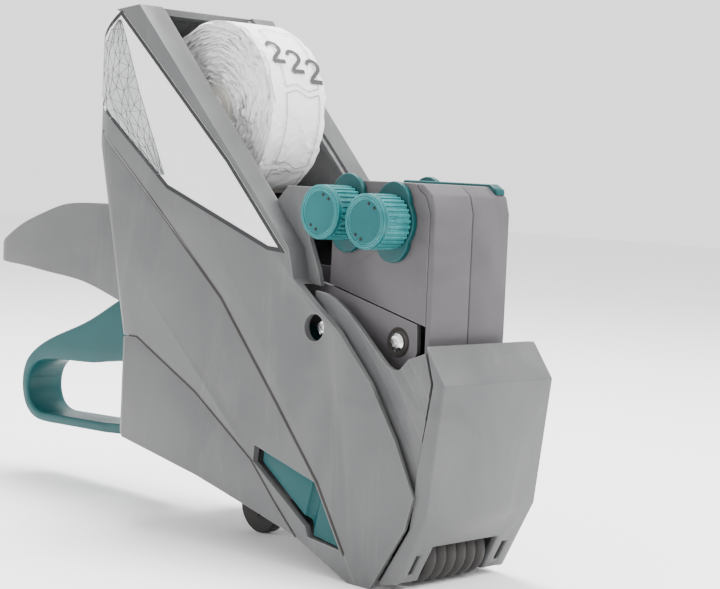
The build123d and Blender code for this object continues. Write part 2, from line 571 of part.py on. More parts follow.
# a collar on each spindle follows the knob as it is pulled and points at the band it turns
for name, (x, z) in (("front", FRONT_KNOB), ("rear", REAR_KNOB)):
    with BuildPart() as indicator:
        rod(x, z, 4.2, 14.4, 15.8)
        block(x - 1, x + 1, 14.4, 15.8, z + 2, 129.5)
        rod(x, z, SELECTOR_R + RUN, 10, 20, mode=Mode.SUBTRACT)
    save(indicator, f"{name}_indicator")

with BuildPart() as head_screws:
    for side in (-1, 1):
        y_low, y_high = sorted((side * PLATE_OUT, side * (PLATE_OUT + 1.6)))
        rod(112.4, 80.6, 3.4, y_low, y_high)
        y_low, y_high = sorted((side * (PLATE_OUT + 0.6), side * (PLATE_OUT + 1.7)))
        rod(112.4, 80.6, 1.5, y_low, y_high, mode=Mode.SUBTRACT)
save(head_screws, "head_screws")

# ---------------------------------------------------------------- ink roller on its swinging yoke
INK_X, INK_Z = INK_PIVOT[0], INK_PIVOT[1] - INK_ARM
with BuildPart() as ink_yoke:
    for side in (-1, 1):
        y_low, y_high = sorted((side * 13.2, side * 15.0))
        plate([(INK_X - 3.4, INK_PIVOT[1]), (INK_X + 3.4, INK_PIVOT[1]), (INK_X + 2.6, INK_Z), (INK_X - 2.6, INK_Z)],
              y_low, y_high)
        rod(*INK_PIVOT, 3.4, y_low, y_high)
        rod(INK_X, INK_Z, 2.6, y_low, y_high)
        y_low, y_high = sorted((side * 14.8, side * 17.9))
        rod(*INK_PIVOT, 2.0, y_low, y_high)
    rod(INK_X, INK_Z, 1.3, -13.5, 13.5)
save(ink_yoke, "ink_yoke")

with BuildPart() as ink_roller:
    rod(INK_X, INK_Z, INK_R, -12.6, 12.6)
    rod(INK_X, INK_Z, 1.3 + RUN, -13, 13, mode=Mode.SUBTRACT)
save(ink_roller, "ink_roller")

# ---------------------------------------------------------------- decals and screws
DECAL = [(-24.0, 191.0), (38.0, 138.0), (69.0, 107.0), (60.0, 107.5), (5.0, 126.5), (-41.5, 160.0), (-55.0, 170.0),
         (-55.0, 200.0)]
DECAL_THICK = 0.2
with BuildPart() as decal_right:
    add(casing_half(-DECAL_THICK))
    add(OUTSIDE, mode=Mode.SUBTRACT)
    plate(DECAL, -45, -8, mode=Mode.INTERSECT)
save_pair(decal_right, "decal")

with BuildPart() as casing_screws:
    for side in (-1, 1):
        y_low, y_high = sorted((side * 24.4, side * 26.4))
        rod(84, 83, 3.2, y_low, y_high)
        y_low, y_high = sorted((side * 25.4, side * 26.6))
        rod(84, 83, 1.4, y_low, y_high, mode=Mode.SUBTRACT)
save(casing_screws, "casing_screws")
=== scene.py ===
"""The looks of the hand-held price labeler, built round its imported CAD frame.

Everything is in metres in the CAD's own frame. Sizes written in millimetres pass through mm().
"""

import json
import random
from math import cos, hypot, pi, radians, sin, sqrt

import bmesh
import bpy
from mathutils import Matrix, Vector, noise


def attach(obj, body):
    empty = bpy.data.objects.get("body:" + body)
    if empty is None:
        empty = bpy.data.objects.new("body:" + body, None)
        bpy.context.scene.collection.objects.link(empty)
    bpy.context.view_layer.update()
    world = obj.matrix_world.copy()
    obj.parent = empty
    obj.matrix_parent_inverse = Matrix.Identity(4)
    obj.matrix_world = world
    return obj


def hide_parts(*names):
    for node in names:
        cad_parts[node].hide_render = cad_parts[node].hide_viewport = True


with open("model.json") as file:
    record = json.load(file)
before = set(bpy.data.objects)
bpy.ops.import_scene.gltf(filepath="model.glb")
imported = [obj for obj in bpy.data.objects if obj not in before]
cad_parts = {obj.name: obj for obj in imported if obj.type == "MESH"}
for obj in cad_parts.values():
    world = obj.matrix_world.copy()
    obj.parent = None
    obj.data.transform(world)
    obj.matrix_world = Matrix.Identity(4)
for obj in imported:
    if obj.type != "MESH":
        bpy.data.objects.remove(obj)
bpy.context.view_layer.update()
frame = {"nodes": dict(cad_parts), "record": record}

MM = 0.001
SIDES = (("right", -1), ("left", 1))


def mm(*values):
    """Millimetres to metres, as a vector."""
    return Vector([v * MM for v in values])


# ---------------------------------------------------------------- modelling helpers
def deselect():
    """Leaves object mode with nothing selected."""
    if bpy.context.object and bpy.context.object.mode != "OBJECT":
        bpy.ops.object.mode_set(mode="OBJECT")
    bpy.ops.object.select_all(action="DESELECT")


def activate(piece):
    """Makes this the only selected object."""
    deselect()
    piece.select_set(True)
    bpy.context.view_layer.objects.active = piece


def edit(piece, choose="SELECT"):
    """Opens a piece in edit mode with all of it, or none of it, selected."""
    activate(piece)
    bpy.ops.object.mode_set(mode="EDIT")
    bpy.ops.mesh.select_all(action=choose)
    return bmesh.from_edit_mesh(piece.data)


def done():
    """Back to object mode."""
    bpy.ops.object.mode_set(mode="OBJECT")


def named(piece, name):
    piece.name = name
    piece.data.name = name
    return piece


def modify(piece, kind, **settings):
    """Adds a modifier with these settings and applies it."""
    activate(piece)
    modifier = piece.modifiers.new(kind.lower(), kind)
    for key, value in settings.items():
        setattr(modifier, key, value)
    bpy.ops.object.modifier_apply(modifier=modifier.name)


def smooth(piece, angle=32):
    activate(piece)
    bpy.ops.object.shade_smooth_by_angle(angle=radians(angle))


def outward(piece):
    """Merges doubled points and turns every face outwards."""
    edit(piece)
    bpy.ops.mesh.remove_doubles(threshold=0.02 * MM)
    bpy.ops.mesh.normals_make_consistent(inside=False)
    done()


def join(pieces, name):
    """Joins pieces into one mesh."""
    deselect()
    for piece in pieces:
        piece.select_set(True)
    bpy.context.view_layer.objects.active = pieces[0]
    bpy.ops.object.join()
    return named(bpy.context.object, name)


def sheet(name, columns, rows, place):
    """A grid of columns by rows faces whose points are moved to place(column, row), in millimetres."""
    deselect()
    bpy.ops.mesh.primitive_grid_add(x_subdivisions=columns, y_subdivisions=rows, size=0.01)
    piece = named(bpy.context.object, name)
    for i, vertex in enumerate(piece.data.vertices):
        vertex.co = mm(*place(i % (columns + 1), i // (columns + 1)))
    return piece


def turned(name, x, z, profile, count=48, radius_at=None):
    """A piece turned about an axis along Y at (x, z). The profile is (radius, y) points.

    radius_at(angle index, row) may change a radius, which cuts flutes or ribs.
    """

    def place(column, row):
        radius, y = profile[row]
        if radius_at:
            radius = radius_at(column % count, row, radius)
        angle = 2 * pi * (column % count) / count
        return x + radius * cos(angle), y, z + radius * sin(angle)

    piece = sheet(name, count, len(profile) - 1, place)
    outward(piece)
    return piece


def outline(name, points):
    """A flat face in the XZ plane with this (x, z) outline."""
    deselect()
    bpy.ops.mesh.primitive_circle_add(vertices=len(points), radius=0.01, fill_type="NGON")
    piece = named(bpy.context.object, name)
    for vertex, (x, z) in zip(piece.data.vertices, points):
        vertex.co = mm(x, 0, z)
    return piece


def slab(name, points, y_low, y_high):
    """A flat piece with this (x, z) outline between two y values."""
    piece = outline(name, points)
    edit(piece)
    bpy.ops.mesh.extrude_region_move(TRANSFORM_OT_translate={"value": mm(0, y_high - y_low, 0)})
    bpy.ops.mesh.select_all(action="SELECT")
    bpy.ops.transform.translate(value=mm(0, y_low, 0))
    bpy.ops.mesh.normals_make_consistent(inside=False)
    done()
    return piece


def moulding(node, name, width, chosen=None, segments=2, angle=30):
    """A copy of a CAD node with its sharp edges rounded.

    chosen(middle in mm) picks the edges that are rounded; without it, all the sharp ones are.
    """
    mesh = frame["nodes"][node].data.copy()
    mesh.materials.clear()
    piece = bpy.data.objects.new(name, mesh)
    bpy.context.collection.objects.link(piece)
    edit(piece)
    bpy.ops.mesh.remove_doubles(threshold=0.002 * MM)
    bpy.ops.mesh.dissolve_limited(angle_limit=radians(0.8))
    bpy.ops.mesh.select_all(action="DESELECT")
    bpy.ops.mesh.select_mode(type="EDGE")
    net = bmesh.from_edit_mesh(piece.data)
    for edge in net.edges:
        sharp = len(edge.link_faces) == 2 and edge.calc_face_angle(0) > radians(angle)
        middle = (edge.verts[0].co + edge.verts[1].co) / 2 / MM
        edge.select_set(sharp and (chosen is None or chosen(middle)))
    bmesh.update_edit_mesh(piece.data)
    if width:
        bpy.ops.mesh.bevel(offset=width * MM, segments=segments, affect="EDGES", clamp_overlap=True)
    done()
    smooth(piece)
    return named(piece, name)


def fitted(piece, body, slot, material, *nodes):
    """Gives a piece its body, its material and the CAD nodes it stands for; the record slot is not used."""
    piece.data.materials.clear()
    piece.data.materials.append(material)
    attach(piece, body)
    if nodes:
        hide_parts(*nodes)
    return piece


# ---------------------------------------------------------------- shader groups
def new_group(name, inputs, outputs):
    """A shader group with float inputs (name, value) and outputs (name, socket type)."""
    group = bpy.data.node_groups.new(name, "ShaderNodeTree")
    for label, value in inputs:
        socket = group.interface.new_socket(label, in_out="INPUT", socket_type="NodeSocketFloat")
        socket.default_value = value
    for label, kind in outputs:
        group.interface.new_socket(label, in_out="OUTPUT", socket_type=kind)
    return group, group.nodes, group.links


def noise_node(nodes, links, vector, scale, detail=4.0, rough=0.55, distortion=0.0):
    node = nodes.new("ShaderNodeTexNoise")
    node.inputs["Scale"].default_value = scale
    node.inputs["Detail"].default_value = detail
    node.inputs["Roughness"].default_value = rough
    node.inputs["Distortion"].default_value = distortion
    links.new(vector, node.inputs["Vector"])
    return node.outputs["Fac"]


def ramp(nodes, links, value, low, high, to_low=0.0, to_high=1.0):
    node = nodes.new("ShaderNodeMapRange")
    node.inputs["From Min"].default_value = low
    node.inputs["From Max"].default_value = high
    node.inputs["To Min"].default_value = to_low
    node.inputs["To Max"].default_value = to_high
    links.new(value, node.inputs["Value"])
    return node.outputs["Result"]


def maths(nodes, links, operation, first, second):
    node = nodes.new("ShaderNodeMath")
    node.operation = operation
    for socket, value in zip(node.inputs, (first, second)):
        if isinstance(value, (int, float)):
            socket.default_value = value
        else:
            links.new(value, socket)
    return node.outputs["Value"]


def moulded_surface_group():
    """Broad tone, fine grain height and soft scuffs of moulded plastic."""
    group, nodes, links = new_group(
        "moulded_surface",
        [("Tone scale", 22.0), ("Grain scale", 1400.0), ("Scuff", 0.5)],
        [("Tone", "NodeSocketFloat"), ("Grain", "NodeSocketFloat"), ("Scuffs", "NodeSocketFloat")],
    )
    given = nodes.new("NodeGroupInput")
    out = nodes.new("NodeGroupOutput")
    place = nodes.new("ShaderNodeTexCoord").outputs["Object"]
    tone = nodes.new("ShaderNodeTexNoise")
    tone.inputs["Detail"].default_value = 6.0
    tone.inputs["Distortion"].default_value = 1.2
    links.new(place, tone.inputs["Vector"])
    links.new(given.outputs["Tone scale"], tone.inputs["Scale"])
    grain = nodes.new("ShaderNodeTexNoise")
    grain.inputs["Detail"].default_value = 2.0
    links.new(place, grain.inputs["Vector"])
    links.new(given.outputs["Grain scale"], grain.inputs["Scale"])
    streak = nodes.new("ShaderNodeMapping")
    streak.inputs["Rotation"].default_value = (0.0, radians(42), 0.0)
    streak.inputs["Scale"].default_value = (60.0, 60.0, 9.0)
    links.new(place, streak.inputs["Vector"])
    fine = noise_node(nodes, links, streak.outputs["Vector"], 1.0, 8.0, 0.7, 0.8)
    scuffs = maths(nodes, links, "MULTIPLY", ramp(nodes, links, fine, 0.55, 0.78), given.outputs["Scuff"])
    links.new(tone.outputs["Fac"], out.inputs["Tone"])
    links.new(grain.outputs["Fac"], out.inputs["Grain"])
    links.new(scuffs, out.inputs["Scuffs"])
    return group


def worn_edge_group():
    """A mask that is bright along rounded outer edges, broken up by noise."""
    group, nodes, links = new_group(
        "worn_edge", [("Radius", 0.0007), ("Amount", 1.0)], [("Edge", "NodeSocketFloat")]
    )
    given = nodes.new("NodeGroupInput")
    out = nodes.new("NodeGroupOutput")
    bevel = nodes.new("ShaderNodeBevel")
    bevel.samples = 4
    links.new(given.outputs["Radius"], bevel.inputs["Radius"])
    flat = nodes.new("ShaderNodeNewGeometry")
    dot = nodes.new("ShaderNodeVectorMath")
    dot.operation = "DOT_PRODUCT"
    links.new(bevel.outputs["Normal"], dot.inputs[0])
    links.new(flat.outputs["Normal"], dot.inputs[1])
    edge = ramp(nodes, links, dot.outputs["Value"], 0.995, 0.80)
    place = nodes.new("ShaderNodeTexCoord").outputs["Object"]
    broken = ramp(nodes, links, noise_node(nodes, links, place, 160.0, 5.0, 0.7), 0.35, 0.65, 0.35, 1.0)
    shown = maths(nodes, links, "MULTIPLY", edge, broken)
    links.new(maths(nodes, links, "MULTIPLY", shown, given.outputs["Amount"]), out.inputs["Edge"])
    return group


MOULDED_SURFACE = moulded_surface_group()
WORN_EDGE = worn_edge_group()


# ---------------------------------------------------------------- materials
def new_material(name):
    material = bpy.data.materials.new(name)
    material.use_nodes = True
    nodes, links = material.node_tree.nodes, material.node_tree.links
    nodes.clear()
    shader = nodes.new("ShaderNodeBsdfPrincipled")
    out = nodes.new("ShaderNodeOutputMaterial")
    links.new(shader.outputs["BSDF"], out.inputs["Surface"])
    return material, nodes, links, shader


def blend(nodes, links, factor, first, second):
    """Mixes two colours; each is a colour or a socket."""
    node = nodes.new("ShaderNodeMix")
    node.data_type = "RGBA"
    links.new(factor, node.inputs["Factor"])
    for label, value in (("A", first), ("B", second)):
        socket = [s for s in node.inputs if s.name == label and s.type == "RGBA"][0]
        if isinstance(value, tuple):
            socket.default_value = (*value, 1.0)
        else:
            links.new(value, socket)
    return [s for s in node.outputs if s.type == "RGBA"][0]


def bump(nodes, links, shader, height, strength, distance):
    node = nodes.new("ShaderNodeBump")
    node.inputs["Strength"].default_value = strength
    node.inputs["Distance"].default_value = distance
    links.new(height, node.inputs["Height"])
    links.new(node.outputs["Normal"], shader.inputs["Normal"])


def plastic(name, dark, light, worn, rough=0.42, scuff=0.35, grain=0.25, coat=0.0, edge=0.6,
            shine=0.2):
    """Moulded plastic: tone between dark and light, paler scuffs and worn edges, fine grain."""
    material, nodes, links, shader = new_material(name)
    surface = nodes.new("ShaderNodeGroup")
    surface.node_tree = MOULDED_SURFACE
    surface.inputs["Scuff"].default_value = scuff
    edges = nodes.new("ShaderNodeGroup")
    edges.node_tree = WORN_EDGE
    edges.inputs["Amount"].default_value = edge
    tone = ramp(nodes, links, surface.outputs["Tone"], 0.3, 0.7)
    base = blend(nodes, links, tone, dark, light)
    scuffed = blend(nodes, links, surface.outputs["Scuffs"], base, worn)
    links.new(blend(nodes, links, edges.outputs["Edge"], scuffed, worn), shader.inputs["Base Color"])
    links.new(ramp(nodes, links, surface.outputs["Tone"], 0.3, 0.7, rough - 0.06, rough + 0.07),
              shader.inputs["Roughness"])
    shader.inputs["Specular IOR Level"].default_value = shine
    shader.inputs["Coat Weight"].default_value = coat
    shader.inputs["Coat Roughness"].default_value = 0.2
    bump(nodes, links, shader, surface.outputs["Grain"], grain, 0.0001)
    return material


def metal(name, colour, rough, stretch):
    """Steel with fine lines along one direction."""
    material, nodes, links, shader = new_material(name)
    place = nodes.new("ShaderNodeTexCoord").outputs["Object"]
    mapping = nodes.new("ShaderNodeMapping")
    mapping.inputs["Scale"].default_value = stretch
    links.new(place, mapping.inputs["Vector"])
    lines = noise_node(nodes, links, mapping.outputs["Vector"], 1.0, 4.0, 0.7)
    darker = tuple(c * 0.8 for c in colour)
    links.new(blend(nodes, links, lines, darker, colour), shader.inputs["Base Color"])
    links.new(ramp(nodes, links, lines, 0.3, 0.7, rough - 0.08, rough + 0.1), shader.inputs["Roughness"])
    shader.inputs["Metallic"].default_value = 1.0
    bump(nodes, links, shader, lines, 0.1, 0.00005)
    return material


def paper(name, colour, shade, centre, bands):
    """Wound paper: faint rings round the roll's axis and soft creases. The shade colour is painted shade in
    the gaps between the windings, on the roll's faces only.
    """
    material, nodes, links, shader = new_material(name)
    mapping = nodes.new("ShaderNodeMapping")
    mapping.vector_type = "POINT"
    mapping.inputs["Location"].default_value = (-centre[0], 0.0, -centre[2])
    mapping.inputs["Scale"].default_value = (1.0, 0.0, 1.0)
    links.new(nodes.new("ShaderNodeTexCoord").outputs["Object"], mapping.inputs["Vector"])
    place = nodes.new("ShaderNodeTexCoord").outputs["Object"]
    length = nodes.new("ShaderNodeVectorMath")
    length.operation = "LENGTH"
    links.new(mapping.outputs["Vector"], length.inputs[0])
    wobble = noise_node(nodes, links, place, 55.0, 3.0, 0.5, 0.6)
    waver = maths(nodes, links, "MULTIPLY", wobble, 0.006)
    radius = maths(nodes, links, "ADD", length.outputs["Value"], waver)
    wave = maths(nodes, links, "SINE", maths(nodes, links, "MULTIPLY", radius, bands), 0.0)
    patch = ramp(nodes, links, noise_node(nodes, links, place, 120.0, 4.0, 0.6), 0.42, 0.62)
    rings = maths(nodes, links, "MULTIPLY", ramp(nodes, links, wave, 0.45, 1.0), patch)
    sides = ramp(nodes, links, length.outputs["Value"], 0.0335, 0.0325)
    # painted shade between the windings, kept to the roll's faces
    dark = maths(nodes, links, "MULTIPLY", rings, sides)
    links.new(blend(nodes, links, dark, colour, shade), shader.inputs["Base Color"])
    links.new(ramp(nodes, links, wobble, 0.3, 0.7, 0.62, 0.8), shader.inputs["Roughness"])
    bump(nodes, links, shader, wave, 0.5, 0.0003)
    return material


GREY_CASING = plastic(
    "grey_casing",
    (0.074, 0.075, 0.077), (0.100, 0.101, 0.103), (0.26, 0.26, 0.26),
    scuff=0.16,
)
GREY_HEAD = plastic(
    "grey_head",
    (0.066, 0.062, 0.066), (0.086, 0.080, 0.085), (0.24, 0.23, 0.24),
    rough=0.36, scuff=0.07,
)
DARK_INNER = plastic(
    "dark_inner",
    (0.010, 0.009, 0.008), (0.020, 0.017, 0.015), (0.06, 0.05, 0.048),
    rough=0.5,
)
TEAL = plastic(
    "teal",
    (0.002, 0.040, 0.043), (0.004, 0.056, 0.060), (0.04, 0.22, 0.23),
    rough=0.36, scuff=0.04,
)
KNOB_TEAL = plastic(
    "knob_teal",
    (0.004, 0.070, 0.076), (0.006, 0.095, 0.102), (0.10, 0.42, 0.43),
    rough=0.32, scuff=0.05, edge=1.0,
)
RUBBER = plastic(
    "black_rubber",
    (0.014, 0.013, 0.013), (0.03, 0.028, 0.027), (0.07, 0.07, 0.07),
    rough=0.55,
)
FELT = plastic(
    "ink_felt",
    (0.012, 0.012, 0.018), (0.03, 0.03, 0.04), (0.05, 0.05, 0.06),
    rough=0.85, grain=0.8,
)
FEED_PLASTIC = plastic(
    "feed_plastic",
    (0.46, 0.46, 0.43), (0.56, 0.56, 0.52), (0.7, 0.7, 0.68),
    rough=0.4,
)
SMOKED_WINDOW = plastic(
    "smoked_window",
    (0.20, 0.20, 0.21), (0.27, 0.27, 0.28), (0.5, 0.5, 0.5),
    rough=0.12, scuff=0.05, grain=0.02, coat=0.6,
)
INDICATOR_RED = plastic("indicator_red", (0.45, 0.05, 0.03), (0.55, 0.07, 0.04), (0.7, 0.3, 0.25))
FILM = plastic(
    "decal_film",
    (0.62, 0.63, 0.64), (0.74, 0.745, 0.75), (0.86, 0.86, 0.86),
    rough=0.30, scuff=0.1, grain=0.05, coat=0.3,
)
INK_BLACK = plastic(
    "print_black",
    (0.012, 0.012, 0.013), (0.02, 0.02, 0.022), (0.05, 0.05, 0.05),
    edge=0.0,
)
INK_GREY = plastic("print_grey", (0.085, 0.085, 0.09), (0.12, 0.12, 0.125), (0.2, 0.2, 0.2), edge=0.0)
FILM_GREY = plastic(
    "decal_grey",
    (0.30, 0.305, 0.31), (0.42, 0.425, 0.43), (0.6, 0.6, 0.6),
    rough=0.34, edge=0.0,
)
FIGURE_GREY = plastic(
    "figure_grey",
    (0.045, 0.045, 0.048), (0.065, 0.065, 0.068), (0.15, 0.15, 0.15),
    edge=0.0,
)
PRINT_PALE = plastic("print_pale", (0.22, 0.22, 0.23), (0.30, 0.30, 0.31), (0.4, 0.4, 0.4), edge=0.0)
STEEL = metal("bright_steel", (0.62, 0.62, 0.62), 0.28, (90.0, 900.0, 90.0))
CHROME = metal("screw_chrome", (0.72, 0.72, 0.72), 0.14, (200.0, 200.0, 200.0))
CARD = plastic(
    "roll_card",
    (0.52, 0.49, 0.45), (0.62, 0.59, 0.55), (0.70, 0.67, 0.63),
    rough=0.8, grain=0.8,
)
ROLL_CENTRE = (0.006, 0.0, 0.156)
# the second colour is painted shade between the windings
PAPER = paper("label_paper", (0.80, 0.80, 0.80), (0.13, 0.125, 0.12), ROLL_CENTRE, 5200.0)

SLOT_MATERIALS = {
    "grey_casing": GREY_CASING, "head_plastic": GREY_HEAD, "dark_inner": DARK_INNER, "teal": TEAL,
    "knob": KNOB_TEAL, "indicator": INDICATOR_RED, "window": SMOKED_WINDOW, "type_band": RUBBER,
    "steel": STEEL, "screw": CHROME, "ink": FELT, "black_rubber": RUBBER, "feed_plastic": FEED_PLASTIC,
    "label_paper": PAPER, "core_card": CARD, "decal_film": FILM,
}


def dress_cad_nodes():
    """Every CAD node that stays gets the material of its slot."""
    slots = {part["node"]: part["material_slot"] for part in frame["record"]["subparts"]}
    for name, node in frame["nodes"].items():
        node.data.materials.clear()
        node.data.materials.append(SLOT_MATERIALS[slots[name]])


dress_cad_nodes()

# ---------------------------------------------------------------- casing
PLAN_ARC = ((-28.0, 33.5), (-41.6, 28.5), (-47.0, 16.0))
NOSE_X, NOSE_HALF = 135.0, 28.0
TAPER = 5.5 / 163.0


def circle_through(first, second, third):
    """Centre and radius of the circle through three (x, y) points."""
    ax, ay = first
    bx, by = second[0] - ax, second[1] - ay
    cx, cy = third[0] - ax, third[1] - ay
    d = 2 * (bx * cy - by * cx)
    ux = (cy * (bx * bx + by * by) - by * (cx * cx + cy * cy)) / d
    uy = (bx * (cx * cx + cy * cy) - cx * (bx * bx + by * by)) / d
    return ax + ux, ay + uy, hypot(ux, uy)


ARC_X, ARC_Y, ARC_R = circle_through(*PLAN_ARC)


def casing_half_width(x):
    """Half width of the casing at x, in millimetres: straight taper in front, round at the back."""
    if x >= PLAN_ARC[0][0]:
        return NOSE_HALF + (NOSE_X - x) * TAPER
    return ARC_Y + sqrt(max(ARC_R ** 2 - (x - ARC_X) ** 2, 0.0))


def casing_shells():
    """The shells, the flap and the inner walls, with softened edges."""
    kinds = (
        ("upper_shell", "casing_upper_shell", 0.45),
        ("middle_shell", "casing_middle_shell", 0.45),
        ("bay_wall", "roll_bay_wall", 0.35),
        ("side_panel", "ribbed_panel", 0.12),
    )
    for word, _ in SIDES:
        for node, name, width in kinds:
            piece = moulding(f"{node}_{word}", f"{name}_{word}", width)
            fitted(piece, "casing", "grey_casing", GREY_CASING, f"{node}_{word}")
    fitted(moulding("base_flap", "hinged_base_flap", 0.45), "flap", "grey_casing", GREY_CASING, "base_flap")
    fitted(moulding("nose_hood", "nose_hood_cover", 0.7, segments=3), "casing", "grey_casing", GREY_CASING,
           "nose_hood")


casing_shells()


# ---------------------------------------------------------------- decal with its outline and line pattern
DECAL_EDGE = [(-25.2, 192.0), (38.0, 138.0), (69.0, 107.0), (60.0, 107.5), (5.0, 126.5), (-41.5, 160.0),
              (-44.2, 161.9), (-44.2, 170.0), (-38.2, 183.0)]
PATTERN_FOOT, PATTERN_TALL = 131.4, 57.0
PATTERN_FRONT = [(131.0, 3.6), (162.0, -13.0), (181.0, -21.5), (189.0, -25.4)]   # (z, x)
PATTERN_BACK = [(131.0, -1.0), (159.5, -38.6), (168.0, -41.4), (181.0, -35.6), (189.0, -26.0)]


def lay_on_casing(piece, side, lift):
    """Moves a flat (x, z) drawing onto the side of the casing."""
    for vertex in piece.data.vertices:
        vertex.co.y = side * (casing_half_width(vertex.co.x / MM) + lift) * MM


def at_height(table, z):
    """x at this height, along the straight pieces of a (z, x) table."""
    for (low, x1), (high, x2) in zip(table, table[1:]):
        if z <= high:
            break
    return x1 + (x2 - x1) * (z - low) / (high - low)


def pattern_point(s, t):
    """A point of the patterned part of the decal: s from back to front, t from bottom to top."""
    z = PATTERN_FOOT + PATTERN_TALL * t
    back, front = at_height(PATTERN_BACK, z), at_height(PATTERN_FRONT, z)
    return back + (front - back) * s, 0.0, z


def decal_outline(word, side):
    """The dark line round the decal."""
    piece = outline(f"decal_outline_{word}", DECAL_EDGE)
    edit(piece)
    bpy.ops.mesh.inset(thickness=1.5 * MM)
    bpy.ops.mesh.delete(type="FACE")
    bpy.ops.mesh.select_all(action="SELECT")
    bpy.ops.mesh.subdivide(number_cuts=9)
    done()
    lay_on_casing(piece, side, 0.28)
    modify(piece, "SOLIDIFY", thickness=0.1 * MM, offset=0.0)
    outward(piece)
    return fitted(piece, "casing", "decal_film", INK_BLACK)


def decal_pattern(word, side):
    """A grey field at the back of the decal, crossed by thin lines that join scattered points."""
    across, up = 12, 20
    tint = sheet(f"decal_grey_field_{word}", across, up, lambda i, j: pattern_point(i / across, j / up))
    lay_on_casing(tint, side, 0.25)
    modify(tint, "SOLIDIFY", thickness=0.05 * MM, offset=0.0)
    outward(tint)
    fitted(tint, "casing", "decal_film", FILM_GREY)
    chance = random.Random(5)
    columns, rows = 6, 13

    def scattered(column, row):
        loose_s, loose_t = chance.uniform(-0.4, 0.4) / columns, chance.uniform(-0.4, 0.4) / rows
        s = column / columns + (loose_s if 0 < column < columns else 0.0)
        t = row / rows + (loose_t if 0 < row < rows else 0.0)
        return pattern_point(s, t)

    net = sheet(f"decal_line_net_{word}", columns, rows, scattered)
    edit(net)
    bpy.ops.mesh.quads_convert_to_tris(quad_method="SHORTEST_DIAGONAL")
    done()
    lay_on_casing(net, side, 0.30)
    modify(net, "WIREFRAME", thickness=0.26 * MM, use_even_offset=False, use_boundary=True)
    return fitted(net, "casing", "decal_film", INK_GREY)


SEAM_UPPER = [(103.0, 9.0), (89.0, 31.0), (67.0, 56.0), (37.0, 89.0), (-1.0, 120.0), (-35.5, 146.7)]
SEAM_LOWER = [(-13.5, 70.5), (-9.0, 70.5), (25.0, 54.0), (56.0, 34.0), (69.0, 21.0), (80.0, 10.9)]


def seam_shadow_strip(name, line, word, side, half):
    """A thin dark strip along a joint between two shells: painted shadow of the gap, which the touching
    shells lack.
    """
    above = [(x + 0.5 * half, z + half) for x, z in line]
    below = [(x - 0.5 * half, z - half) for x, z in reversed(line)]
    piece = outline(f"{name}_{word}", above + below)
    edit(piece)
    bpy.ops.mesh.subdivide(number_cuts=7)
    done()
    lay_on_casing(piece, side, 0.04)
    modify(piece, "SOLIDIFY", thickness=0.1 * MM, offset=0.0)
    outward(piece)
    # the dark material here is painted shadow in the shut line
    return fitted(piece, "casing", "dark_inner", DARK_INNER)


for word, side in SIDES:
    decal_outline(word, side)
    decal_pattern(word, side)
    # dark strips of painted shadow along the shut lines between the shells
    seam_shadow_strip("upper_seam_shadow", SEAM_UPPER, word, side, 0.55)
    seam_shadow_strip("lower_seam_shadow", SEAM_LOWER, word, side, 0.36)


# ---------------------------------------------------------------- hand grip and trigger
def grips():
    """The two handle halves and the trigger, with well rounded edges."""
    for word, _ in SIDES:
        half = moulding(
            f"handle_{word}", f"hand_grip_{word}", 2.6, chosen=lambda m: abs(m.y) > 6, segments=5, angle=40
        )
        fitted(half, "casing", "grey_casing", GREY_CASING, f"handle_{word}")
    lever = moulding(
        "trigger", "finger_trigger", 1.5, chosen=lambda m: m.x < -26 and abs(m.y) > 8, segments=4
    )
    fitted(lever, "trigger_lever", "teal", TEAL, "trigger")


grips()


# ---------------------------------------------------------------- print head
def print_head():
    """The head with its covers, screw plates and knob flanges, and the flap's latches."""
    housing = moulding("head_box", "head_housing", 0.7, segments=3)
    fitted(housing, "print_head", "head_plastic", GREY_HEAD, "head_box")
    for word, _ in SIDES:
        cover = moulding(f"head_cover_{word}", f"head_front_cover_{word}", 0.55, segments=3)
        fitted(cover, "print_head", "head_plastic", GREY_HEAD, f"head_cover_{word}")
        plate = moulding(f"head_plate_{word}", f"head_side_plate_{word}", 0.3)
        fitted(plate, "print_head", "head_plastic", GREY_HEAD, f"head_plate_{word}")
        for place in ("front", "rear"):
            node = f"{place}_flange_{word}"
            flange = moulding(node, f"{place}_knob_flange_{word}", 0.6, segments=3)
            fitted(flange, "print_head", "teal", TEAL, node)
        latch = moulding(f"latch_{word}", f"flap_latch_{word}", 0.7, segments=3)
        fitted(latch, f"{word}_latch", "teal", TEAL, f"latch_{word}")


def setting_knob(place, x, z):
    """A fluted knob with a flat cap, a raised rim and four small pips, on its spindle."""
    flutes, per = 30, 6

    def fluted(column, row, radius):
        if row in (6, 7):
            return radius + (0.45 if (column % per) in (1, 2, 3) else -0.1)
        return radius

    cap_y, body_y, end_y, spindle_y = -33.5, -31.0, -20.9, 22.5
    profile = [
        (0.0, cap_y + 0.6), (7.3, cap_y + 0.6), (7.7, cap_y), (8.5, cap_y), (9.1, cap_y + 0.6),
        (9.1, body_y - 0.3), (8.7, body_y), (8.7, end_y - 0.2), (8.2, end_y),
        (2.6, end_y), (2.5, spindle_y), (0.0, spindle_y),
    ]
    piece = turned(f"{place}_setting_knob", x, z, profile, flutes * per, fluted)
    smooth(piece, 28)
    pips = []
    for angle in (48, 76, 228, 256):
        px, pz = x + 6.0 * cos(radians(angle)), z + 6.0 * sin(radians(angle))
        pip = [(0.0, cap_y + 0.1), (0.35, cap_y + 0.18), (0.55, cap_y + 0.65), (0.0, cap_y + 0.7)]
        pips.append(turned(f"pip_{angle}", px, pz, pip, 12))
    marks = join(pips, f"{place}_knob_pips")
    smooth(marks, 40)
    fitted(piece, f"{place}_dial", "knob", KNOB_TEAL, f"{place}_knob")
    fitted(marks, f"{place}_dial", "knob", DARK_INNER)


